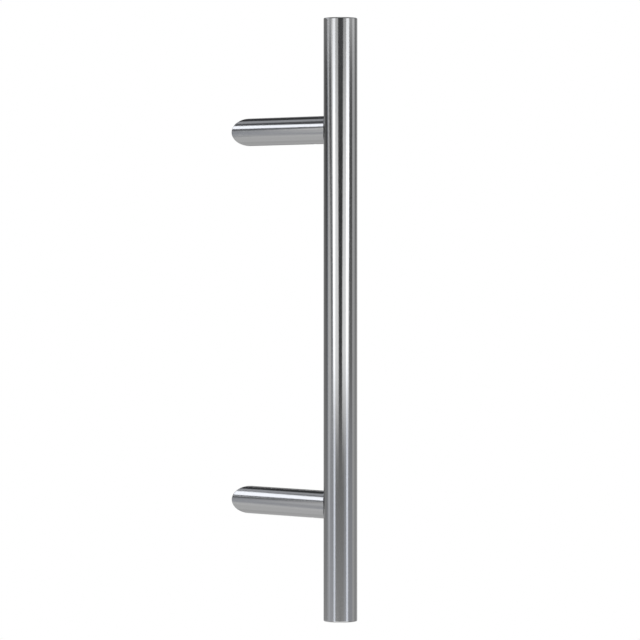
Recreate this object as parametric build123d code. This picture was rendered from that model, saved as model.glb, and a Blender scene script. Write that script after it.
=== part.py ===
from build123d import *
import math
import os

# Door pull handle: a vertical round grip bar on two round posts that run back and sideways
# to the door at 45 degrees. All sizes are millimetres.
# Frame: the origin is on the door's surface, midway between the two feet. +Z is up along
# the bar, the door is the plane y = 0, and the room is on its -Y side.

# Grip bar
bar_d = 30.0
bar_wall = 1.5
bar_above_post = 99.0
bar_below_post = 103.0

# Posts
post_d = 25.0
post_pitch = 335.0
post_angle = 45.0
bar_stand_off = 84.2
foot_edge_r = 1.5

# End caps
cap_head = 3.0
cap_rim_r = 1.0
cap_plug_length = 12.0
cap_plug_wall = 2.0
cap_lead_in = 0.8

# Anchor slugs inside the bar
slug_length = 32.0
slug_edge = 0.5
slug_thread_back = 8.0

# Spigot studs, each screwed into a slug and entering a post
stud_thread_d = 10.0
spigot_d = 14.0
spigot_seat = 9.0
spigot_in_post = 30.0
spigot_edge = 0.8
spigot_key = 6.0
spigot_key_depth = 6.0
groove_depth = 1.2

# Grub screws that hold the posts on their spigots
grub_d = 6.0
grub_length = 6.0
grub_tip_d = 1.5
grub_along_spigot = 18.0
grub_key = 3.0
grub_key_depth = 2.5

# Threaded hole in each foot, square to the door
bolt_tap_d = 6.8
bolt_hole_depth = 11.5
bolt_mouth = 0.6
drill_angle = 118.0

# Foot gaskets
gasket_t = 1.0
gasket_inset = 0.3
gasket_hole_d = 9.0

# Fits
slide_gap = 0.05
thread_gap = 0.02
cope_gap = 0.03
bore_end_gap = 1.5

# Worked out from the sizes above
bar_r = bar_d / 2
bore_r = bar_r - bar_wall
post_r = post_d / 2
spigot_r = spigot_d / 2
lean = math.radians(post_angle)
bar_x = bar_stand_off * math.tan(lean)
post_reach = bar_stand_off / math.cos(lean)
post_heights = {"upper": post_pitch / 2, "lower": -post_pitch / 2}
bar_top = post_pitch / 2 + bar_above_post
bar_bottom = -post_pitch / 2 - bar_below_post
foot_flat_r = post_r - foot_edge_r
foot_flat_x = foot_edge_r * math.tan(lean)


def post_plane(height, along=0.0):
    """A plane across a post's axis, `along` from the bar's axis, facing the door."""
    toward_door = Vector(-math.sin(lean), math.cos(lean), 0)
    start = Vector(bar_x, -bar_stand_off, height)
    return Plane(origin=start + toward_door * along, x_dir=(0, 0, 1), z_dir=toward_door)


def post_rod(height, radius, start, end):
    """A round rod on a post's axis between two distances from the bar's axis."""
    low_end = (Align.CENTER, Align.CENTER, Align.MIN)
    return post_plane(height, start) * Cylinder(radius, end - start, align=low_end)


def bar_rod(radius, low, high):
    """A round rod on the bar's axis between two heights."""
    low_end = (Align.CENTER, Align.CENTER, Align.MIN)
    return Pos(bar_x, -bar_stand_off, low) * Cylinder(radius, high - low, align=low_end)


def make_grip_tube():
    low = bar_bottom + cap_head
    high = bar_top - cap_head
    tube = bar_rod(bar_r, low, high) - bar_rod(bore_r, low, high)
    for height in post_heights.values():
        tube -= post_rod(height, spigot_r + slide_gap, 0, bar_d)
    return tube


def make_end_cap():
    """A cap with its seat at z = 0 and its head upwards, about the bar's axis at x = y = 0."""
    plug_r = bore_r - slide_gap
    outline = Polyline(
        (0, cap_head),
        (bar_r, cap_head),
        (bar_r, 0),
        (plug_r, 0),
        (plug_r, -cap_plug_length),
        (plug_r - cap_plug_wall, -cap_plug_length),
        (plug_r - cap_plug_wall, 0),
        (0, 0),
        close=True,
    )
    cap = revolve(Plane.XZ * make_face(outline), Axis.Z)
    rims = cap.edges().filter_by(GeomType.CIRCLE)
    top_rim = rims.group_by(Axis.Z)[-1]
    cap = fillet(top_rim, cap_rim_r)
    plug_end = cap.edges().filter_by(GeomType.CIRCLE).group_by(Axis.Z)[0]
    return chamfer(plug_end.sort_by(SortBy.RADIUS)[-1], cap_lead_in)


def make_anchor_slug(height):
    slug = Cylinder(bore_r - slide_gap, slug_length)
    slug = chamfer(slug.edges().filter_by(GeomType.CIRCLE), slug_edge)
    slug = Pos(bar_x, -bar_stand_off, height) * slug
    slug -= post_rod(height, stud_thread_d / 2 + thread_gap, -bar_r, bar_r)
    return slug - post_rod(height, spigot_r + slide_gap, spigot_seat, bar_r)


def make_spigot_stud(height):
    """A stud whose thin end screws into the slug and whose thick end fills the post's bore."""
    end = bar_r + spigot_in_post
    stud = Cylinder(spigot_r, end - spigot_seat, align=(Align.CENTER, Align.CENTER, Align.MIN))
    tip = stud.edges().filter_by(GeomType.CIRCLE).group_by(Axis.Z)[-1]
    stud = chamfer(tip, spigot_edge)
    groove_at = bar_r + grub_along_spigot - spigot_seat
    floor_r = spigot_r - groove_depth
    floor_half = grub_tip_d / 2 + slide_gap
    groove = Polyline(
        (floor_r, groove_at - floor_half),
        (floor_r, groove_at + floor_half),
        (floor_r + 2 * groove_depth, groove_at + floor_half + 2 * groove_depth),
        (floor_r + 2 * groove_depth, groove_at - floor_half - 2 * groove_depth),
        close=True,
    )
    stud -= revolve(Plane.XZ * make_face(groove), Axis.Z)
    socket = extrude(RegularPolygon(spigot_key / 2, 6, major_radius=False), spigot_key_depth)
    stud -= Pos(0, 0, end - spigot_seat - spigot_key_depth) * socket
    stud = post_plane(height, spigot_seat) * stud
    return stud + post_rod(height, stud_thread_d / 2, -slug_thread_back, spigot_seat)


def make_post(height):
    post = post_rod(height, post_r, 0, post_reach + bar_d)
    foot_plane = Plane(origin=(0, -gasket_t, height), x_dir=(1, 0, 0), z_dir=(0, -1, 0))
    post = split(post, bisect_by=foot_plane, keep=Keep.TOP)
    foot_rim = post.faces().sort_by(Axis.Y)[-1].edges()
    post = fillet(foot_rim, foot_edge_r)
    post -= bar_rod(bar_r + cope_gap, height - post_d, height + post_d)
    post -= post_rod(height, spigot_r + slide_gap, 0, bar_r + spigot_in_post + bore_end_gap)
    post -= make_bolt_hole(height)
    return post - make_grub_hole(height)


def make_bolt_hole(height):
    """The tapped hole for the door bolt: a round wall with a drill point and a broken mouth."""
    tap_r = bolt_tap_d / 2
    point = tap_r / math.tan(math.radians(drill_angle / 2))
    outline = Polyline(
        (0, -bolt_mouth),
        (tap_r + 2 * bolt_mouth, -bolt_mouth),
        (tap_r, bolt_mouth),
        (tap_r, bolt_hole_depth),
        (0, bolt_hole_depth + point),
        close=True,
    )
    hole = revolve(Plane.XZ * make_face(outline), Axis.Z)
    into_foot = Plane(origin=(0, -gasket_t, height), x_dir=(1, 0, 0), z_dir=(0, -1, 0))
    return into_foot * hole


def grub_place(height):
    """The middle of a post's spigot groove, looking down out of the post's underside."""
    start = post_plane(height, bar_r + grub_along_spigot).origin
    return Plane(origin=start, x_dir=(1, 0, 0), z_dir=(0, 0, -1))


def make_grub_hole(height):
    low_end = (Align.CENTER, Align.CENTER, Align.MIN)
    return grub_place(height) * Cylinder(grub_d / 2 + thread_gap, post_d, align=low_end)


def make_grub_screw(height):
    """A socket set screw with a cone point that sits in the groove of the spigot."""
    grub_r = grub_d / 2
    tip_r = grub_tip_d / 2
    tip = spigot_r - groove_depth
    outline = Polyline(
        (0, tip),
        (tip_r, tip),
        (grub_r, tip + grub_r - tip_r),
        (grub_r, tip + grub_length),
        (0, tip + grub_length),
        close=True,
    )
    screw = revolve(Plane.XZ * make_face(outline), Axis.Z)
    socket = extrude(RegularPolygon(grub_key / 2, 6, major_radius=False), grub_key_depth)
    screw -= Pos(0, 0, tip + grub_length - grub_key_depth) * socket
    return grub_place(height) * screw


def make_foot_gasket(height):
    """A thin pad between a foot and the door, just inside the outline of the foot's flat."""
    pad_r = foot_flat_r - gasket_inset
    pad = Pos(foot_flat_x, 0) * Ellipse(pad_r / math.cos(lean), pad_r)
    pad -= Circle(gasket_hole_d / 2)
    on_door = Plane(origin=(0, 0, height), x_dir=(1, 0, 0), z_dir=(0, -1, 0))
    return extrude(on_door * pad, gasket_t)


parts = {"grip_tube": make_grip_tube()}
cap = make_end_cap()
parts["top_end_cap"] = Pos(bar_x, -bar_stand_off, bar_top - cap_head) * cap
parts["bottom_end_cap"] = Pos(bar_x, -bar_stand_off, bar_bottom + cap_head) * Rot(180, 0, 0) * cap
for place, height in post_heights.items():
    parts[place + "_anchor_slug"] = make_anchor_slug(height)
    parts[place + "_spigot_stud"] = make_spigot_stud(height)
    parts[place + "_post"] = make_post(height)
    parts[place + "_grub_screw"] = make_grub_screw(height)
    parts[place + "_foot_gasket"] = make_foot_gasket(height)

os.makedirs("parts", exist_ok=True)
for node, part in parts.items():
    export_step(part, "parts/" + node + ".step")
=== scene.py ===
import bmesh
import bpy
import math
from mathutils import Matrix, Vector


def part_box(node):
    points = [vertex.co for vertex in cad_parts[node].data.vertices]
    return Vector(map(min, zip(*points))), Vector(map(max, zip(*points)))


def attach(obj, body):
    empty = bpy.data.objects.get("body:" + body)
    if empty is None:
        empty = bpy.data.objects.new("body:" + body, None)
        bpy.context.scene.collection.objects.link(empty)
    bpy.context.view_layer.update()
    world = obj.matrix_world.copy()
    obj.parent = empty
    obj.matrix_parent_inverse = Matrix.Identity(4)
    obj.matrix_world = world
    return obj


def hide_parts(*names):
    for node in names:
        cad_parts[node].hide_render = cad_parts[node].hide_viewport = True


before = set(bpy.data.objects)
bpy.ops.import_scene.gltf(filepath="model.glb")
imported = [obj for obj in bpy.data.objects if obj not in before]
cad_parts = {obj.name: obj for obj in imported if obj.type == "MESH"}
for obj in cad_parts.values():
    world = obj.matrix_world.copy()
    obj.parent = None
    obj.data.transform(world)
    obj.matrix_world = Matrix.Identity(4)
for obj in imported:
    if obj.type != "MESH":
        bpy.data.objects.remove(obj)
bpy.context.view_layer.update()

MM = 0.001

# Places and sizes that the frame gives, in metres
tube_low, tube_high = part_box("grip_tube")
cap_low, cap_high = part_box("top_end_cap")
post_low, post_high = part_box("upper_post")
screw_low, screw_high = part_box("upper_grub_screw")
pad_low, pad_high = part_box("upper_foot_gasket")
bar_x = (tube_low.x + tube_high.x) / 2
bar_y = (tube_low.y + tube_high.y) / 2
bar_r = (tube_high.x - tube_low.x) / 2
bar_top = cap_high.z
bar_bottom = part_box("bottom_end_cap")[0].z
post_r = (post_high.z - post_low.z) / 2
upper_height = (post_low.z + post_high.z) / 2
lower_height = sum(corner.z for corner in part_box("lower_post")) / 2
post_pitch = upper_height - lower_height
foot_y = post_high.y
bar_axis = Vector((bar_x, bar_y, 0))
screw_x = (screw_low.x + screw_high.x) / 2
screw_y = (screw_low.y + screw_high.y) / 2

# The posts run from the bar back to the door at 45 degrees
lean = math.radians(45)
toward_door = Vector((-math.sin(lean), math.cos(lean), 0))
post_reach = -bar_y / math.cos(lean)

# Sizes that the frame's boxes don't give
bar_wall = 1.5 * MM
cap_rim_r = 1.0 * MM
cap_plug_wall = 2.0 * MM
cap_lead_in = 0.8 * MM
cap_slide_gap = 0.05 * MM
foot_edge_r = 1.5 * MM
spigot_bore_r = 7.05 * MM
spigot_bore_end = 46.5 * MM
cope_gap = 0.03 * MM
relief_width = 0.4 * MM
relief_depth = 0.6 * MM
foot_flat_inset = 0.15 * MM
bolt_tap_r = 3.4 * MM
bolt_thread_r = 4.0 * MM
bolt_pitch = 1.25 * MM
bolt_hole_depth = 11.5 * MM
bolt_mouth = 0.6 * MM
bolt_thread_start = 0.4 * bolt_pitch
drill_point = bolt_tap_r / math.tan(math.radians(59))
drill_tip_r = 0.01 * MM
grub_hole_r = 3.02 * MM
grub_r = 3.0 * MM
grub_pitch = 1.0 * MM
grub_thread_depth = 0.61 * MM
grub_thread_start = 0.9 * MM
grub_tip_r = 0.75 * MM
grub_end_edge = 0.3 * MM
grub_key_r = 1.5 * MM / math.cos(math.radians(30))
grub_key_depth = 2.5 * MM
gasket_edge = 0.2 * MM
gasket_hole_r = 4.5 * MM

# How far a thread's cutter and a socket's cutter reach past the surface
THREAD_OVERRUN = 0.2 * MM
SOCKET_OVERRUN = 1.0 * MM
MERGE_WITHIN = 0.002 * MM

ROUND = 192
SMALL_ROUND = 64
STEPS_PER_TURN = 32
SMOOTH_ANGLE = math.radians(30)


def deselect_all():
    bpy.ops.object.select_all(action="DESELECT")


def select_only(piece):
    deselect_all()
    piece.select_set(True)
    bpy.context.view_layer.objects.active = piece


def open_edit(piece):
    select_only(piece)
    bpy.ops.object.mode_set(mode="EDIT")


def close_edit():
    bpy.ops.object.mode_set(mode="OBJECT")


def pick(kind, wanted):
    """In edit mode, selects only the verts, edges or faces for which wanted is true."""
    mode = {"verts": "VERT", "edges": "EDGE", "faces": "FACE"}[kind]
    bpy.ops.mesh.select_mode(type=mode)
    bpy.ops.mesh.select_all(action="DESELECT")
    mesh = bmesh.from_edit_mesh(bpy.context.object.data)
    for item in getattr(mesh, kind):
        item.select_set(wanted(item))
    mesh.select_flush_mode()
    bmesh.update_edit_mesh(bpy.context.object.data)


def place(piece, matrix=Matrix.Identity(4)):
    """Puts the place into the mesh, so that the object itself stays at the origin."""
    piece.matrix_world = matrix @ piece.matrix_world
    select_only(piece)
    bpy.ops.object.transform_apply(location=True, rotation=True, scale=True)


def along(direction, start):
    """The place of something modelled along +Z that now points in a direction from start."""
    turn = Vector((0, 0, 1)).rotation_difference(direction)
    return Matrix.Translation(start) @ turn.to_matrix().to_4x4()


def tidy_mesh(piece):
    """Merges doubles and turns every face outwards."""
    open_edit(piece)
    bpy.ops.mesh.select_all(action="SELECT")
    bpy.ops.mesh.remove_doubles(threshold=MERGE_WITHIN)
    bpy.ops.mesh.normals_make_consistent(inside=False)
    close_edit()


def turned_rod(name, rings, sides):
    """A turned solid along +Z: a circle that is extruded and resized from ring to ring.

    Rings are pairs of radius and height.
    """
    first_r, first_z = rings[0]
    deselect_all()
    bpy.ops.mesh.primitive_circle_add(
        vertices=sides, radius=first_r, fill_type="NGON", location=(0, 0, first_z)
    )
    rod = bpy.context.object
    rod.name = name
    place(rod)
    open_edit(rod)
    bpy.ops.mesh.select_all(action="SELECT")
    last_r, last_z = first_r, first_z
    for ring_r, ring_z in rings[1:]:
        bpy.ops.mesh.extrude_region_move(TRANSFORM_OT_translate={"value": (0, 0, ring_z - last_z)})
        grow = ring_r / last_r
        bpy.ops.transform.resize(value=(grow, grow, 1), center_override=(0, 0, ring_z))
        last_r, last_z = ring_r, ring_z
    close_edit()
    tidy_mesh(rod)
    return rod


def cut(piece, *cutters):
    """Takes the cutters out of the piece."""
    for cutter in cutters:
        hole = piece.modifiers.new("hole", "BOOLEAN")
        hole.operation = "DIFFERENCE"
        hole.solver = "EXACT"
        hole.object = cutter
        select_only(piece)
        bpy.ops.object.modifier_apply(modifier=hole.name)
        bpy.data.objects.remove(cutter)


def smooth(piece):
    """Smooth shading with crisp edges, led by the largest faces."""
    select_only(piece)
    bpy.ops.object.shade_smooth_by_angle(angle=SMOOTH_ANGLE)
    lead = piece.modifiers.new("face_led_normals", "WEIGHTED_NORMAL")
    lead.keep_sharp = True
    bpy.ops.object.modifier_apply(modifier=lead.name)


def copy_of(piece, name, matrix):
    """A copy with a mesh of its own, put in its place."""
    select_only(piece)
    bpy.ops.object.duplicate()
    twin = bpy.context.object
    twin.name = name
    place(twin, matrix)
    return twin


def helix_groove(name, inner_r, outer_r, pitch, turns, flat):
    """The cutter of a V thread round +Z: its section, turned and lifted by the Screw modifier."""
    reach = abs(outer_r - inner_r)
    half = flat / 2 + reach * math.tan(math.radians(30))
    deselect_all()
    bpy.ops.mesh.primitive_plane_add(size=1)
    groove = bpy.context.object
    groove.name = name
    corners = [(inner_r, -half), (inner_r, half), (outer_r, flat / 2), (outer_r, -flat / 2)]
    open_edit(groove)
    mesh = bmesh.from_edit_mesh(groove.data)
    mesh.verts.ensure_lookup_table()
    face = mesh.faces[:][0]
    for vert, (radius, height) in zip(face.verts, corners):
        vert.co = (radius, 0, height)
    bmesh.update_edit_mesh(groove.data)
    bpy.ops.mesh.delete(type="ONLY_FACE")
    close_edit()
    screw = groove.modifiers.new("thread", "SCREW")
    screw.angle = 2 * math.pi * turns
    screw.screw_offset = pitch * turns
    screw.steps = STEPS_PER_TURN * turns
    screw.render_steps = STEPS_PER_TURN * turns
    screw.use_smooth_shade = False
    select_only(groove)
    bpy.ops.object.modifier_apply(modifier=screw.name)
    open_edit(groove)
    bpy.ops.mesh.select_mode(type="EDGE")
    bpy.ops.mesh.select_all(action="DESELECT")
    bpy.ops.mesh.select_non_manifold()
    bpy.ops.mesh.fill()
    close_edit()
    tidy_mesh(groove)
    return groove


def hex_key(name, corner_r, low, high):
    """The cutter of a hexagon socket along +Z."""
    deselect_all()
    bpy.ops.mesh.primitive_cylinder_add(
        vertices=6, radius=corner_r, depth=high - low, location=(0, 0, (low + high) / 2)
    )
    key = bpy.context.object
    key.name = name
    place(key)
    return key


def make_grip_tube():
    """The bar: a tube with loops above and below each post and a cross hole at each."""
    low, high = tube_low.z, tube_high.z
    deselect_all()
    bpy.ops.mesh.primitive_cylinder_add(
        vertices=ROUND, radius=bar_r, depth=high - low, location=(bar_x, bar_y, (low + high) / 2)
    )
    tube = bpy.context.object
    tube.name = "bar_tube"
    place(tube)
    open_edit(tube)
    pick("faces", lambda face: abs(face.normal.z) > 0.9)
    bpy.ops.mesh.inset(thickness=bar_wall)
    bpy.ops.mesh.bridge_edge_loops()
    loop_reach = post_r - 2 * MM
    for height in (upper_height, lower_height):
        for side in (-1, 1):
            bpy.ops.mesh.select_all(action="SELECT")
            bpy.ops.mesh.bisect(
                plane_co=(bar_x, bar_y, height + side * loop_reach), plane_no=(0, 0, 1)
            )
    close_edit()
    tidy_mesh(tube)
    for height in (upper_height, lower_height):
        drill = turned_rod("drill", [(spigot_bore_r, 0), (spigot_bore_r, 2 * bar_r)], SMALL_ROUND)
        place(drill, along(toward_door, bar_axis + Vector((0, 0, height))))
        cut(tube, drill)
    smooth(tube)
    return tube


def make_end_cap():
    """The top cap: a plug with a thin wall, a seat on the tube and a head with a rolled rim."""
    head = bar_top - tube_high.z
    plug_r = bar_r - bar_wall - cap_slide_gap
    plug_end = cap_low.z - tube_high.z
    rim_steps = 10
    rings = [
        (plug_r - cap_plug_wall, 0),
        (plug_r - cap_plug_wall, plug_end),
        (plug_r - cap_lead_in, plug_end),
        (plug_r, plug_end + cap_lead_in),
        (plug_r, 0),
        (bar_r, 0),
        (bar_r, head - 1.2 * cap_rim_r),
    ]
    for step in range(rim_steps + 1):
        turn = math.pi / 2 * step / rim_steps
        out = bar_r - cap_rim_r * (1 - math.cos(turn))
        rings.append((out, head - cap_rim_r * (1 - math.sin(turn))))
    rings.append((bar_r - 1.2 * cap_rim_r, head))
    cap = turned_rod("bar_cap_top", rings, ROUND)
    place(cap, Matrix.Translation((bar_x, bar_y, tube_high.z)))
    smooth(cap)
    return cap


def roll_foot_edge(post, height):
    """Extrudes the post's open end round the foot's edge: a ball of foot_edge_r rolls along it.

    Each ring of the edge is placed from the ball's centre, between the post's outward
    direction and the direction to the door.
    """
    edge_steps = 12
    to_door = Vector((0, 1, 0))
    axis_start = bar_axis + Vector((0, 0, height))
    ball_y = foot_y - foot_edge_r

    def outward(point):
        across = point - axis_start
        return (across - toward_door * across.dot(toward_door)).normalized()

    def ball_centre(out):
        start = axis_start + out * (post_r - foot_edge_r)
        return start + toward_door * ((ball_y - start.y) / toward_door.y)

    open_edit(post)
    pick("verts", lambda vert: (vert.co - axis_start).dot(toward_door) > post_reach)
    mesh = bmesh.from_edit_mesh(post.data)
    mesh.verts.index_update()
    outs = {}
    for vert in mesh.verts:
        if vert.select:
            outs[vert.index] = outward(vert.co)
            vert.co = ball_centre(outs[vert.index]) + outs[vert.index] * foot_edge_r
    bmesh.update_edit_mesh(post.data)
    for step in range(1, edge_steps + 1):
        bpy.ops.mesh.select_mode(type="EDGE")
        bpy.ops.mesh.extrude_region()
        mesh = bmesh.from_edit_mesh(post.data)
        mesh.verts.index_update()
        new_outs = {}
        for vert in [v for v in mesh.verts if v.select]:
            before = [e.other_vert(vert) for e in vert.link_edges if not e.other_vert(vert).select]
            out = outs[before[0].index]
            new_outs[vert.index] = out
            turn = out.slerp(to_door, step / edge_steps)
            vert.co = ball_centre(out) + turn * foot_edge_r
        outs = new_outs
        bmesh.update_edit_mesh(post.data)
    bpy.ops.mesh.edge_face_add()
    bpy.ops.mesh.select_mode(type="FACE")
    bpy.ops.mesh.inset(thickness=foot_flat_inset)
    close_edit()


def bar_cutter(name, radius, height):
    """A rod on the bar's axis that reaches past a post at a height."""
    low, high = height - 2 * post_r, height + 2 * post_r
    rod = turned_rod(name, [(radius, low), (radius, high)], 2 * ROUND)
    place(rod, Matrix.Translation(bar_axis))
    return rod


def post_relief(height, axis_start):
    """The cutter of a narrow step round the post's head, the dark line where it meets the bar."""
    ring = bar_cutter("relief", bar_r + relief_width, height)
    core_r = post_r - relief_depth
    core = turned_rod("relief_core", [(core_r, 0), (core_r, 4 * post_r)], ROUND)
    place(core, along(toward_door, axis_start))
    cut(ring, core)
    return ring


def make_post():
    """The upper post, with its cope, its bore and its holes."""
    height = upper_height
    axis_start = bar_axis + Vector((0, 0, height))
    post = turned_rod("post_rod", [(post_r, 0), (post_r, post_reach + 3 * post_r)], ROUND)
    place(post, along(toward_door, axis_start))
    open_edit(post)
    pick("faces", lambda face: face.normal.dot(toward_door) > 0.9)
    bpy.ops.mesh.delete(type="ONLY_FACE")
    close_edit()
    roll_foot_edge(post, height)
    tidy_mesh(post)

    cope = bar_cutter("cope", bar_r + cope_gap, height)
    relief = post_relief(height, axis_start)
    bore = turned_rod("bore", [(spigot_bore_r, 0), (spigot_bore_r, spigot_bore_end)], SMALL_ROUND)
    place(bore, along(toward_door, axis_start))
    bolt_rings = [
        (bolt_tap_r + 2 * bolt_mouth, -bolt_mouth),
        (bolt_tap_r, bolt_mouth),
        (bolt_tap_r, bolt_hole_depth),
        (drill_tip_r, bolt_hole_depth + drill_point),
    ]
    bolt_hole = turned_rod("bolt_hole", bolt_rings, SMALL_ROUND)
    into_foot = along(Vector((0, -1, 0)), Vector((0, foot_y, height)))
    place(bolt_hole, into_foot)
    thread = helix_groove(
        "bolt_thread", bolt_tap_r - THREAD_OVERRUN, bolt_thread_r, bolt_pitch, 7, bolt_pitch / 8
    )
    place(thread, into_foot @ Matrix.Translation((0, 0, bolt_thread_start)))
    grub_hole = turned_rod("grub_hole", [(grub_hole_r, 0), (grub_hole_r, 2 * post_r)], SMALL_ROUND)
    place(grub_hole, along(Vector((0, 0, -1)), Vector((screw_x, screw_y, height))))
    cut(post, cope, relief, bore, bolt_hole, thread, grub_hole)
    tidy_mesh(post)
    smooth(post)
    return post


def make_grub_screw():
    """The upper set screw, standing on its cone: threaded, with a hexagon socket."""
    length = screw_high.z - screw_low.z
    rings = [
        (grub_tip_r, 0),
        (grub_r, grub_r - grub_tip_r),
        (grub_r, length - grub_end_edge),
        (grub_r - grub_end_edge, length),
    ]
    screw = turned_rod("grub_screw", rings, SMALL_ROUND)
    thread_root_r = grub_r - grub_thread_depth
    groove = helix_groove(
        "grub_thread", grub_r + THREAD_OVERRUN, thread_root_r, grub_pitch, 5, grub_pitch / 8
    )
    place(groove, Matrix.Translation((0, 0, grub_thread_start)))
    socket_top = length + SOCKET_OVERRUN
    socket = hex_key("grub_socket", grub_key_r, length - grub_key_depth, socket_top)
    cut(screw, groove, socket)
    place(screw, along(Vector((0, 0, -1)), Vector((screw_x, screw_y, screw_high.z))))
    tidy_mesh(screw)
    smooth(screw)
    return screw


def make_foot_gasket():
    """The upper pad: an ellipse with softened edges and the bolt's clearance hole."""
    pad_x = (pad_low.x + pad_high.x) / 2
    thickness = pad_high.y - pad_low.y
    half_x = (pad_high.x - pad_low.x) / 2
    half_z = (pad_high.z - pad_low.z) / 2
    rings = [
        (half_z - gasket_edge, 0),
        (half_z, gasket_edge),
        (half_z, thickness - gasket_edge),
        (half_z - gasket_edge, thickness),
    ]
    pad = turned_rod("foot_pad", rings, ROUND)
    open_edit(pad)
    bpy.ops.mesh.select_all(action="SELECT")
    bpy.ops.transform.resize(value=(half_x / half_z, 1, 1), center_override=(0, 0, 0))
    close_edit()
    hole_rings = [(gasket_hole_r, -thickness), (gasket_hole_r, 2 * thickness)]
    hole = turned_rod("pad_hole", hole_rings, SMALL_ROUND)
    place(hole, Matrix.Translation((-pad_x, 0, 0)))
    cut(pad, hole)
    on_door = Matrix.Translation((pad_x, pad_high.y, upper_height))
    place(pad, on_door @ Matrix.Rotation(math.pi / 2, 4, "X"))
    tidy_mesh(pad)
    smooth(pad)
    return pad


def dress(piece, slot, *nodes):
    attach(piece, "root")
    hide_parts(*nodes)


bar_tube = make_grip_tube()
top_cap = make_end_cap()
seat = Vector((bar_x, bar_y, 0))
over = Matrix.Translation(seat + Vector((0, 0, bar_bottom + bar_top)))
bottom_cap = copy_of(
    top_cap, "bar_cap_bottom", over @ Matrix.Rotation(math.pi, 4, "X") @ Matrix.Translation(-seat)
)
dress(bar_tube, "satin_stainless_bar", "grip_tube")
dress(top_cap, "satin_stainless_cap", "top_end_cap")
dress(bottom_cap, "satin_stainless_cap", "bottom_end_cap")

down = Matrix.Translation((0, 0, -post_pitch))
makers = {
    "post": (make_post, "satin_stainless_post"),
    "grub_screw": (make_grub_screw, "socket_screw_steel"),
    "foot_gasket": (make_foot_gasket, "gasket_rubber"),
}
posts = {}
for kind, (maker, slot) in makers.items():
    upper = maker()
    upper.name = "upper_" + kind + "_piece"
    lower = copy_of(upper, "lower_" + kind + "_piece", down)
    dress(upper, slot, "upper_" + kind)
    dress(lower, slot, "lower_" + kind)
    posts[kind] = [upper, lower]


def new_group(name, inputs, outputs):
    """A shader node group with named sockets, with its input node and its output node."""
    group = bpy.data.node_groups.new(name, "ShaderNodeTree")
    for socket_name, kind, value in inputs:
        socket = group.interface.new_socket(name=socket_name, in_out="INPUT", socket_type=kind)
        if value is not None:
            socket.default_value = value
    for socket_name, kind in outputs:
        group.interface.new_socket(name=socket_name, in_out="OUTPUT", socket_type=kind)
    return group, group.nodes.new("NodeGroupInput"), group.nodes.new("NodeGroupOutput")


def node(tree, kind, **settings):
    made = tree.nodes.new("ShaderNode" + kind)
    for setting, value in settings.items():
        setattr(made, setting, value)
    return made


def maths(tree, operation, first, second):
    """A Math node. Each side is a socket or a number."""
    made = node(tree, "Math", operation=operation)
    for socket, side in zip(made.inputs, (first, second)):
        if isinstance(side, (int, float)):
            socket.default_value = side
        else:
            tree.links.new(side, socket)
    return made.outputs[0]


def make_brush_lines():
    """Fine lines across +Z, as a belt leaves them: long and thin, in two sizes."""
    group, into, out = new_group(
        "brush_lines",
        [
            ("Vector", "NodeSocketVector", None),
            ("Lines per Metre", "NodeSocketFloat", 6000.0),
            ("Drift per Metre", "NodeSocketFloat", 40.0),
        ],
        [("Lines", "NodeSocketFloat")],
    )
    links = group.links
    layers = []
    for share, weight in ((1.0, 0.6), (0.22, 0.4)):
        spread = node(group, "CombineXYZ")
        links.new(into.outputs["Drift per Metre"], spread.inputs[0])
        links.new(into.outputs["Drift per Metre"], spread.inputs[1])
        links.new(maths(group, "MULTIPLY", into.outputs["Lines per Metre"], share), spread.inputs[2])
        scaled = node(group, "VectorMath", operation="MULTIPLY")
        links.new(into.outputs["Vector"], scaled.inputs[0])
        links.new(spread.outputs[0], scaled.inputs[1])
        noise = node(group, "TexNoise", noise_dimensions="3D")
        noise.inputs["Scale"].default_value = 1.0
        noise.inputs["Detail"].default_value = 2.0
        links.new(scaled.outputs[0], noise.inputs["Vector"])
        layers.append(maths(group, "MULTIPLY", noise.outputs[0], weight))
    links.new(maths(group, "ADD", *layers), out.inputs["Lines"])
    return group


def make_cloud():
    """Wide, faint patches, such as even a well finished metal has."""
    group, into, out = new_group(
        "cloud",
        [
            ("Vector", "NodeSocketVector", None),
            ("Patches per Metre", "NodeSocketFloat", 30.0),
            ("Low", "NodeSocketFloat", 0.0),
            ("High", "NodeSocketFloat", 1.0),
        ],
        [("Value", "NodeSocketFloat")],
    )
    noise = node(group, "TexNoise", noise_dimensions="3D")
    noise.inputs["Detail"].default_value = 3.0
    group.links.new(into.outputs["Vector"], noise.inputs["Vector"])
    group.links.new(into.outputs["Patches per Metre"], noise.inputs["Scale"])
    fit = node(group, "MapRange")
    fit.inputs["From Min"].default_value = 0.3
    fit.inputs["From Max"].default_value = 0.7
    group.links.new(noise.outputs[0], fit.inputs["Value"])
    group.links.new(into.outputs["Low"], fit.inputs["To Min"])
    group.links.new(into.outputs["High"], fit.inputs["To Max"])
    group.links.new(fit.outputs["Result"], out.inputs["Value"])
    return group


brush_lines = make_brush_lines()
cloud = make_cloud()


def use_group(tree, group, vector, **values):
    placed = node(tree, "Group", node_tree=group)
    tree.links.new(vector, placed.inputs["Vector"])
    for socket_name, value in values.items():
        placed.inputs[socket_name.replace("_", " ")].default_value = value
    return placed


def new_material(name):
    material = bpy.data.materials.new(name)
    material.use_nodes = True
    return material, material.node_tree, material.node_tree.nodes["Principled BSDF"]


def local_vector(tree, origin, axis):
    """Object coordinates with an origin on the piece and +Z along an axis of it."""
    coordinates = node(tree, "TexCoord")
    mapping = node(tree, "Mapping", vector_type="TEXTURE")
    mapping.inputs["Location"].default_value = origin
    turn = Vector((0, 0, 1)).rotation_difference(axis).to_euler()
    mapping.inputs["Rotation"].default_value = turn
    tree.links.new(coordinates.outputs["Object"], mapping.inputs["Vector"])
    return mapping.outputs["Vector"]


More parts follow.
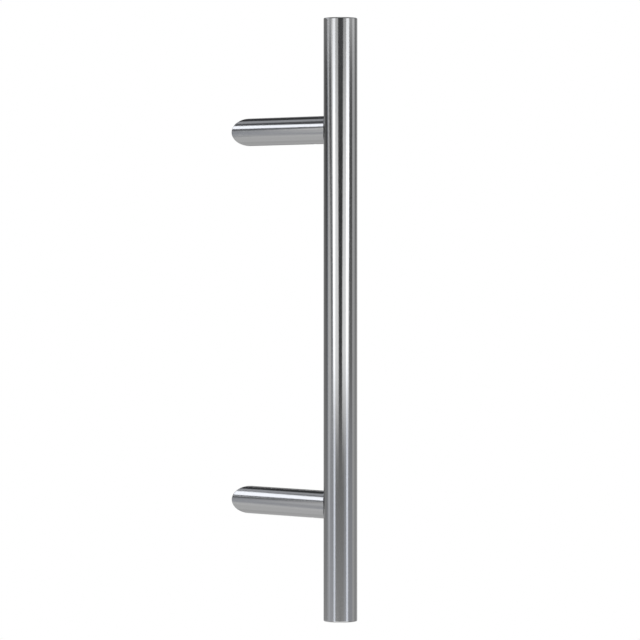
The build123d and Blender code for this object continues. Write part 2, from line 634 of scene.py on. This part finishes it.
STEEL_IN_LINES = (0.98, 0.985, 0.99)
STEEL_BETWEEN = (1.01, 1.015, 1.02)
LINE_HEIGHT = 0.02 * MM
GRAIN_HEIGHT = 0.03 * MM


def steel_shader(tree, shader, vector, tone, roughness, anisotropy, line_depth):
    """The steel itself: brush lines across the vector's Z, faint patches and a slightly cool grey."""
    smoothest, roughest = roughness
    lines = use_group(tree, brush_lines, vector, Lines_per_Metre=6000.0, Drift_per_Metre=40.0)
    patches = use_group(tree, cloud, vector, Patches_per_Metre=30.0, Low=smoothest, High=roughest)
    tree.links.new(patches.outputs["Value"], shader.inputs["Roughness"])
    colour = node(tree, "MixRGB")
    colour.inputs[1].default_value = (*(tone * part for part in STEEL_IN_LINES), 1)
    colour.inputs[2].default_value = (*(tone * part for part in STEEL_BETWEEN), 1)
    tree.links.new(lines.outputs["Lines"], colour.inputs["Fac"])
    tree.links.new(colour.outputs[0], shader.inputs["Base Color"])
    bump = node(tree, "Bump")
    bump.inputs["Strength"].default_value = line_depth
    bump.inputs["Distance"].default_value = LINE_HEIGHT
    tree.links.new(lines.outputs["Lines"], bump.inputs["Height"])
    tree.links.new(bump.outputs["Normal"], shader.inputs["Normal"])
    shader.inputs["Metallic"].default_value = 1.0
    shader.inputs["Anisotropic"].default_value = anisotropy


def brushed_steel(
    name, origin, axis, tone=0.62, roughness=(0.13, 0.15), anisotropy=0.3, line_depth=0.03
):
    """Satin stainless steel, brushed round an axis, so that reflections spread along it."""
    material, tree, shader = new_material(name)
    vector = local_vector(tree, origin, axis)
    steel_shader(tree, shader, vector, tone, roughness, anisotropy, line_depth)
    lay = node(tree, "CombineXYZ")
    for socket, part in zip(lay.inputs, axis):
        socket.default_value = part
    tree.links.new(lay.outputs[0], shader.inputs["Tangent"])
    return material


def make_turned_rings():
    """Makes a vector's Z its distance from the axis, so that lines become rings on a flat end.

    Outward is the direction away from the axis.
    """
    group, into, out = new_group(
        "turned_rings",
        [("Vector", "NodeSocketVector", None)],
        [("Vector", "NodeSocketVector"), ("Outward", "NodeSocketVector")],
    )
    flat = node(group, "VectorMath", operation="MULTIPLY")
    flat.inputs[1].default_value = (1, 1, 0)
    group.links.new(into.outputs["Vector"], flat.inputs[0])
    distance = node(group, "VectorMath", operation="LENGTH")
    group.links.new(flat.outputs[0], distance.inputs[0])
    outward = node(group, "VectorMath", operation="NORMALIZE")
    group.links.new(flat.outputs[0], outward.inputs[0])
    parts = node(group, "SeparateXYZ")
    group.links.new(into.outputs["Vector"], parts.inputs[0])
    rings = node(group, "CombineXYZ")
    group.links.new(parts.outputs["X"], rings.inputs["X"])
    group.links.new(parts.outputs["Y"], rings.inputs["Y"])
    group.links.new(distance.outputs["Value"], rings.inputs["Z"])
    group.links.new(rings.outputs[0], out.inputs["Vector"])
    group.links.new(outward.outputs[0], out.inputs["Outward"])
    return group


turned_rings = make_turned_rings()


def turned_face(
    name, origin, axis, tone=0.62, roughness=(0.20, 0.26), anisotropy=0.5, line_depth=0.08
):
    """A flat steel end faced on a lathe: fine rings round its axis."""
    material, tree, shader = new_material(name)
    rings = use_group(tree, turned_rings, local_vector(tree, origin, axis))
    steel_shader(tree, shader, rings.outputs["Vector"], tone, roughness, anisotropy, line_depth)
    tree.links.new(rings.outputs["Outward"], shader.inputs["Tangent"])
    return material


def rubber(name, tone=0.03):
    """Dense black rubber: uneven gloss, a fine grain and slightly paler high spots."""
    material, tree, shader = new_material(name)
    coordinates = node(tree, "TexCoord")
    place_on_pad = coordinates.outputs["Object"]
    patches = use_group(tree, cloud, place_on_pad, Patches_per_Metre=900.0, Low=0.58, High=0.78)
    tree.links.new(patches.outputs["Value"], shader.inputs["Roughness"])
    grain = use_group(tree, cloud, place_on_pad, Patches_per_Metre=5000.0, Low=0.0, High=1.0)
    colour = node(tree, "MixRGB")
    colour.inputs[1].default_value = (tone * 0.8, tone * 0.8, tone * 0.8, 1)
    colour.inputs[2].default_value = (tone * 1.3, tone * 1.3, tone * 1.3, 1)
    tree.links.new(grain.outputs["Value"], colour.inputs["Fac"])
    tree.links.new(colour.outputs[0], shader.inputs["Base Color"])
    bump = node(tree, "Bump")
    bump.inputs["Strength"].default_value = 0.3
    bump.inputs["Distance"].default_value = GRAIN_HEIGHT
    tree.links.new(grain.outputs["Value"], bump.inputs["Height"])
    tree.links.new(bump.outputs["Normal"], shader.inputs["Normal"])
    shader.inputs["Specular IOR Level"].default_value = 0.4
    return material


UP = Vector((0, 0, 1))
upper_start = bar_axis + UP * upper_height
screw_place = Vector((screw_x, screw_y, 0))
bar_steel = brushed_steel("satin_stainless_bar", bar_axis, UP)
cap_steel = brushed_steel("satin_stainless_cap", bar_axis, UP)
cap_face_steel = turned_face("satin_stainless_cap_face", bar_axis, UP)
post_steel = brushed_steel("satin_stainless_post", upper_start, toward_door)
slug_steel = brushed_steel("turned_steel_slug", bar_axis, UP, 0.55, (0.26, 0.32), 0.4, 0.15)
stud_steel = brushed_steel("turned_steel_stud", upper_start, toward_door, 0.55, (0.24, 0.30), 0.4, 0.15)
screw_steel = brushed_steel("socket_screw_steel", screw_place, UP, 0.45, (0.28, 0.36), 0.2, 0.1)
gasket_black = rubber("gasket_rubber")


def paint(piece, *materials):
    piece.data.materials.clear()
    for material in materials:
        piece.data.materials.append(material)


def paint_flat_end(piece, end, material):
    """Gives the flat end of a turned piece a material of its own."""
    piece.data.materials.append(material)
    open_edit(piece)
    pick("faces", lambda face: face.normal.dot(end) > 0.999)
    piece.active_material_index = len(piece.data.materials) - 1
    bpy.ops.object.material_slot_assign()
    close_edit()


paint(bar_tube, bar_steel)
for cap, end in ((top_cap, UP), (bottom_cap, -UP)):
    paint(cap, cap_steel)
    paint_flat_end(cap, end, cap_face_steel)
for piece in posts["post"]:
    paint(piece, post_steel)
for piece in posts["grub_screw"]:
    paint(piece, screw_steel)
for piece in posts["foot_gasket"]:
    paint(piece, gasket_black)
for place_name in ("upper", "lower"):
    paint(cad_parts[place_name + "_anchor_slug"], slug_steel)
    paint(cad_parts[place_name + "_spigot_stud"], stud_steel)


# Studio
FLOOR_Z = -0.75
FLOOR_CARD_Z = FLOOR_Z + 0.01
WALL_RADIUS = 1.65
WALL_TOP = 0.60
LOW_RADIUS = 0.60
FLOOR_HOLE = 0.02


def only_in_reflections(obj):
    obj.visible_camera = False
    obj.visible_diffuse = False
    obj.visible_transmission = False
    obj.visible_volume_scatter = False
    obj.visible_shadow = False


PLAIN = (1.0, 1.0, 1.0)
FAINT = (0.985, 0.997, 1.02)
COOL = (0.97, 0.99, 1.05)
COLD = (0.95, 0.99, 1.09)


def card_paint(name, levels, tint, fade):
    """Soft light whose level changes with height. Levels are pairs of height and brightness.

    Fade gives two heights: the card is whole at the first and clear at the second.
    """
    material = bpy.data.materials.new(name)
    material.use_nodes = True
    tree = material.node_tree
    tree.nodes.clear()
    coordinates = node(tree, "TexCoord")
    parts = node(tree, "SeparateXYZ")
    tree.links.new(coordinates.outputs["Object"], parts.inputs[0])
    low, high = levels[0][0], levels[-1][0]
    fit = node(tree, "MapRange")
    fit.inputs["From Min"].default_value = low
    fit.inputs["From Max"].default_value = high
    tree.links.new(parts.outputs["Z"], fit.inputs["Value"])
    ramp = node(tree, "ValToRGB")
    elements = ramp.color_ramp.elements
    while len(elements) < len(levels):
        elements.new(0.5)
    brightest = max(level for height, level in levels)
    for element, (height, level) in zip(elements, levels):
        element.position = (height - low) / (high - low)
        element.color = (*(level / brightest * part for part in tint), 1)
    tree.links.new(fit.outputs["Result"], ramp.inputs["Fac"])
    light = node(tree, "Emission")
    light.inputs["Strength"].default_value = brightest
    tree.links.new(ramp.outputs["Color"], light.inputs["Color"])
    out = node(tree, "OutputMaterial")
    if fade is None:
        tree.links.new(light.outputs[0], out.inputs["Surface"])
        return material
    cover = node(tree, "MapRange", interpolation_type="SMOOTHSTEP")
    cover.inputs["From Min"].default_value = fade[1]
    cover.inputs["From Max"].default_value = fade[0]
    tree.links.new(parts.outputs["Z"], cover.inputs["Value"])
    mix = node(tree, "MixShader")
    tree.links.new(cover.outputs["Result"], mix.inputs["Fac"])
    tree.links.new(node(tree, "BsdfTransparent").outputs[0], mix.inputs[1])
    tree.links.new(light.outputs[0], mix.inputs[2])
    tree.links.new(mix.outputs[0], out.inputs["Surface"])
    return material


def curved_card(name, rings, *levels, tint=PLAIN, fade=None):
    """A sheet bent round the bar's axis, through rings of radius, height and two bearings.

    Bearings are degrees round the bar from the camera's side, to the right as plus.
    """
    steps = 24
    verts = []
    for radius, height, start, end in rings:
        for step in range(steps + 1):
            bearing = math.radians(start + (end - start) * step / steps)
            x = bar_x + radius * math.sin(bearing)
            y = bar_y - radius * math.cos(bearing)
            verts.append((x, y, height))
    faces = []
    for ring in range(len(rings) - 1):
        for step in range(steps):
            corner = ring * (steps + 1) + step
            faces.append((corner, corner + 1, corner + steps + 2, corner + steps + 1))
    mesh = bpy.data.meshes.new(name)
    mesh.from_pydata(verts, [], faces)
    card = bpy.data.objects.new(name, mesh)
    bpy.context.scene.collection.objects.link(card)
    mesh.materials.append(card_paint(name, levels, tint, fade))
    only_in_reflections(card)
    return card


def even(level):
    """The levels of a card that is equally bright all over."""
    return (FLOOR_Z, level), (WALL_TOP, level)


# The cards that stand round the bar: bearings, then pairs of height and level
wall_cards = {
    "left_back_wall": ((-180, -135), (-0.6, 0.50), (-0.4, 0.30), (-0.1, 0.26), (WALL_TOP, 0.22)),
    "left_back_grey": (
        (-135, -103), (-0.6, 0.58), (-0.4, 0.30), (-0.1, 0.20), (0.3, 0.09), (0.36, 0.24)
    ),
    "left_wall": (
        (-92, -52), (-0.4, 0.45), (-0.2, 0.62), (0.2, 0.62), (0.28, 0.72), (0.34, 1.2), (0.42, 0.6)
    ),
    "left_grey": ((-52, -13), (-0.1, 1.05), (0.19, 1.02), (0.30, 0.58), (0.40, 0.55)),
    "right_grey": ((12, 60), (-0.1, 1.02), (0.19, 0.95), (0.30, 0.50), (0.40, 0.44)),
    "right_flag": ((60, 88), (-0.15, 0.20), (0.15, 0.09), (0.29, 0.08), (0.325, 0.17), (0.35, 0.54)),
    "right_wall": ((88, 109), (-0.1, 0.46), (0.16, 0.51), (0.31, 0.52), (0.36, 0.78)),
    "right_far_wall": ((109, 121), (-0.1, 0.34), (0.36, 0.34)),
    "right_back_flag": ((121, 137), (-0.2, 0.32), (0.1, 0.17), (0.31, 0.13), (0.36, 0.22)),
    "right_back_wall": ((137, 180), (-0.2, 0.46), (0.36, 0.38)),
}
for name, ((start, end), *levels) in wall_cards.items():
    rings = [
        (FLOOR_HOLE, FLOOR_CARD_Z, start, end),
        (WALL_RADIUS, FLOOR_CARD_Z, start, end),
        (WALL_RADIUS, WALL_TOP, start, end),
    ]
    curved_card(name, rings, *levels)

# Far off on the left, seen past the near cards: a wall that the posts show, its floor and the
# lamp over it
FAR_RADIUS = 6.0
FAR_TOP = 3.2
LAMP_RADIUS = 3.0
LAMP_BOTTOM = 1.20
LAMP_TOP = 2.8
far_rings = [(FAR_RADIUS, FLOOR_Z, -108, -86), (FAR_RADIUS, FAR_TOP, -108, -86)]
far_levels = [(FLOOR_Z, 0.39), (0.40, 0.34), (0.6, 0.33), (0.72, 0.24), (1.0, 0.12), (FAR_TOP, 0.10)]
curved_card("far_wall", far_rings, *far_levels, tint=COLD)
lamp_rings = [(LAMP_RADIUS, LAMP_BOTTOM, -125, -84), (LAMP_RADIUS, LAMP_TOP, -125, -84)]
curved_card("post_lamp", lamp_rings, *even(1.55), tint=COOL)
FAR_FLOOR_SPLIT = -95.2
for name, start, end, level, tint in (
    ("far_floor_left", -103, FAR_FLOOR_SPLIT, 0.65, PLAIN),
    ("far_floor_right", FAR_FLOOR_SPLIT, -91, 0.38, COLD),
):
    rings = [(FLOOR_HOLE, FLOOR_CARD_Z, start, end), (FAR_RADIUS, FLOOR_CARD_Z, start, end)]
    curved_card(name, rings, *even(level), tint=tint)

# In front of the wall: flags behind the camera and on the left, a bright top on the left and
# the two lit strips. Radius, then height and two bearings for each edge, then height and level
FLAG_RADIUS = WALL_RADIUS - 0.02
STRIP_RADIUS = WALL_RADIUS - 0.04
leaning_cards = {
    "camera_flag": (
        FLAG_RADIUS,
        [
            (FLOOR_Z, -12.5, 11.5), (-0.03, -12.5, 11.5), (0.19, -16.5, 16.5), (0.36, -17.5, 19),
            (WALL_TOP, -17.5, 19),
        ],
        [(0.0, 0.055), (0.19, 0.045), (0.30, 0.085)],
    ),
    "left_back_flag": (
        FLAG_RADIUS,
        [
            (-0.6, -114, -99), (-0.10, -115, -99), (0.20, -118, -99), (0.31, -118, -104),
            (0.35, -118, -115),
        ],
        [(-0.6, 0.45), (-0.4, 0.32), (-0.1, 0.17), (0.18, 0.06), (0.3, 0.06), (0.36, 0.15)],
    ),
    "left_flag": (
        FLAG_RADIUS,
        [
            (FLOOR_Z, -62, -52), (-0.15, -65, -51), (-0.03, -69, -54), (0.12, -74, -58),
            (0.20, -82, -64), (0.32, -87.5, -65), (WALL_TOP, -87.5, -65),
        ],
        [
            (-0.15, 0.35), (-0.03, 0.20), (0.12, 0.18), (0.19, 0.08), (0.30, 0.05), (0.325, 0.08),
            (0.35, 0.62),
        ],
    ),
    "left_top_wall": (
        FLAG_RADIUS,
        [(0.30, -105.5, -96), (0.42, -105.5, -96)],
        [(0.30, 0.42), (0.33, 0.62), (0.36, 0.85), (0.42, 0.60)],
    ),
    "left_strip": (
        STRIP_RADIUS,
        [
            (FLOOR_Z, -47, -36), (-0.15, -48, -36), (-0.03, -51, -36), (0.20, -55, -36),
            (WALL_TOP, -55, -36),
        ],
        [(0.22, 1.9), (0.36, 1.2)],
    ),
    "right_strip": (
        STRIP_RADIUS,
        [(FLOOR_Z, 39, 49), (-0.15, 39, 49), (-0.01, 36.5, 53), (0.12, 39, 61.5), (WALL_TOP, 39, 61.5)],
        [(0.22, 1.9), (0.36, 1.2)],
    ),
}
for name, (radius, rings, levels) in leaning_cards.items():
    curved_card(name, [(radius, *ring) for ring in rings], *levels, tint=FAINT)

# Low grey cards close to the bar: its lower end shows them instead of the bands.
# They are whole up to LOW_WHOLE and clear at LOW_TO. Bearings, bottom and top level, tint
LOW_FROM = -0.38
LOW_WHOLE = -0.18
LOW_TO = -0.045
STRIP_FORWARD = 0.02
low_cards = {
    "low_left_wall": (-88, -75, 0.50, 0.60, COOL),
    "low_left": (-75, -52, 0.48, 0.37, COOL),
    "low_front": (-52, 24, 0.37, 0.20, PLAIN),
    "low_front_right": (24, 56, 0.42, 0.32, COOL),
    "low_right": (56, 88, 0.40, 0.30, COOL),
    "low_left_strip": (-48, -35, 0.92, 1.08, COLD),
    "low_right_strip": (39.5, 52.5, 0.94, 1.10, COLD),
}
for name, (start, end, bottom, top, tint) in low_cards.items():
    radius = LOW_RADIUS - (STRIP_FORWARD if "strip" in name else 0)
    rings = [(radius, LOW_FROM, start, end), (radius, LOW_TO, start, end)]
    levels = [(LOW_FROM, bottom), (LOW_WHOLE, top)]
    curved_card(name, rings, *levels, tint=tint, fade=(LOW_WHOLE, LOW_TO))

# High cards: flags and greys above the wall, with an opening on the left for the far lamp.
# Bearings, the height where each starts and its level
high_cards = {
    "lamp_flag": (-123, -88, 1.20, 0.09),
    "high_left_flag": (-88, -60, WALL_TOP, 0.14),
    "high_grey": (-147, -123, WALL_TOP, 0.42),
    "high_back_flag": (-171, -147, WALL_TOP, 0.05),
    "high_back": (-200, -171, WALL_TOP, 0.20),
    "high_front": (-60, 60, WALL_TOP, 0.04),
    "high_right": (60, 160, WALL_TOP, 0.24),
}
HIGH_RADIUS = 1.6
HIGH_TOP = 2.2
CEILING_RADIUS = 0.9
CEILING_HOLE = 0.01
for name, (start, end, bottom, level) in high_cards.items():
    rings = [(HIGH_RADIUS, bottom, start, end), (HIGH_RADIUS, HIGH_TOP, start, end)]
    curved_card(name, rings, *even(level), tint=COOL)
for name, outer, inner, level in (
    ("ceiling_edge", HIGH_RADIUS, CEILING_RADIUS, 0.05),
    ("ceiling_light", CEILING_RADIUS, CEILING_HOLE, 0.65),
):
    rings = [(outer, HIGH_TOP, -180, 180), (inner, HIGH_TOP, -180, 180)]
    curved_card(name, rings, *even(level))

# Floor: pale under the bar, where its shadow falls, and as white as the background farther off
FLOOR_RADIUS = 3.9
SHADOW_REACH = 0.8
WHITE_FROM = 2.2
deselect_all()
bpy.ops.mesh.primitive_circle_add(
    vertices=96, radius=FLOOR_RADIUS, fill_type="NGON", location=(bar_x, bar_y, FLOOR_Z)
)
floor = bpy.context.object
floor.name = "studio_floor"
floor_material, floor_tree, floor_shader = new_material("studio_floor")
floor_rays = node(floor_tree, "LightPath")
camera_or_glossy = maths(
    floor_tree, "MAXIMUM", floor_rays.outputs["Is Camera Ray"], floor_rays.outputs["Is Glossy Ray"]
)
floor_seen = maths(floor_tree, "MAXIMUM", camera_or_glossy, floor_rays.outputs["Is Transmission Ray"])
floor_colour = node(floor_tree, "MixRGB")
floor_colour.inputs[1].default_value = (0.7, 0.7, 0.7, 1)
floor_colour.inputs[2].default_value = (1, 1, 1, 1)
floor_tree.links.new(floor_seen, floor_colour.inputs["Fac"])
floor_tree.links.new(floor_colour.outputs[0], floor_shader.inputs["Base Color"])
floor_shader.inputs["Roughness"].default_value = 1.0
floor_shader.inputs["Specular IOR Level"].default_value = 0.0
floor_place = node(floor_tree, "TexCoord")
off_centre = node(floor_tree, "VectorMath", operation="LENGTH")
floor_tree.links.new(floor_place.outputs["Object"], off_centre.inputs[0])
far_off = node(floor_tree, "MapRange", interpolation_type="SMOOTHSTEP")
far_off.inputs["From Min"].default_value = SHADOW_REACH
far_off.inputs["From Max"].default_value = WHITE_FROM
floor_tree.links.new(off_centre.outputs["Value"], far_off.inputs["Value"])
floor_white = node(floor_tree, "Emission")
floor_mix = node(floor_tree, "MixShader")
floor_tree.links.new(
    maths(floor_tree, "MULTIPLY", floor_seen, far_off.outputs["Result"]), floor_mix.inputs["Fac"]
)
floor_tree.links.new(floor_shader.outputs[0], floor_mix.inputs[1])
floor_tree.links.new(floor_white.outputs[0], floor_mix.inputs[2])
floor_out = floor_tree.nodes["Material Output"]
floor_tree.links.new(floor_mix.outputs[0], floor_out.inputs["Surface"])
floor.data.materials.append(floor_material)

WORLD_LIGHT = 0.75
world = bpy.data.worlds.new("studio")
bpy.context.scene.world = world
world.use_nodes = True
sky = world.node_tree
backdrop = sky.nodes["Background"]
backdrop.inputs["Color"].default_value = (1, 1, 1, 1)
rays = node(sky, "LightPath")
seen = maths(sky, "MAXIMUM", rays.outputs["Is Camera Ray"], rays.outputs["Is Glossy Ray"])
seen = maths(sky, "MAXIMUM", seen, rays.outputs["Is Transmission Ray"])
up_to_white = maths(sky, "MULTIPLY", seen, 1 - WORLD_LIGHT)
sky.links.new(maths(sky, "ADD", up_to_white, WORLD_LIGHT), backdrop.inputs["Strength"])

# Soft lamps for what isn't metal. The metal shows the cards instead
lamps = {
    "key_lamp": ((-1.4, -2.2, 1.9), 1.6, 30.0),
    "fill_lamp": ((2.2, -1.4, 1.2), 2.0, 14.0),
    "back_lamp": ((0.2, 2.2, 1.8), 2.0, 12.0),
}
for name, (spot, width, power) in lamps.items():
    lamp_data = bpy.data.lights.new(name, "AREA")
    lamp_data.size = width
    lamp_data.energy = power
    lamp = bpy.data.objects.new(name, lamp_data)
    bpy.context.scene.collection.objects.link(lamp)
    lamp.location = spot
    lamp.rotation_euler = (-Vector(spot)).to_track_quat("-Z", "Y").to_euler()
    lamp.visible_camera = False
    lamp.visible_glossy = False

# Camera, from the photo's measures in pixels
FOCAL_PX = 3724.0
PHOTO_PX = 640
BAR_WIDTH_PX = 33.7
BAR_OFF_MIDDLE_PX = 20.45
HORIZON_UP_PX = 70
CAMERA_HEIGHT = 60.3 * MM
SENSOR_MM = 36
metres_per_px = 2 * bar_r / BAR_WIDTH_PX
camera_data = bpy.data.cameras.new("photo_camera")
camera = bpy.data.objects.new("photo_camera", camera_data)
bpy.context.scene.collection.objects.link(camera)
camera_data.sensor_width = SENSOR_MM
camera_data.lens = FOCAL_PX * SENSOR_MM / PHOTO_PX
camera_data.clip_end = 50
camera_x = bar_x - BAR_OFF_MIDDLE_PX * metres_per_px
camera_y = bar_y - FOCAL_PX * metres_per_px
camera_drop = math.atan(HORIZON_UP_PX / FOCAL_PX)
camera.location = (camera_x, camera_y, CAMERA_HEIGHT)
camera.rotation_euler = (math.radians(90) - camera_drop, 0, 0)
bpy.context.scene.camera = camera
bpy.context.scene.view_settings.view_transform = "Standard"
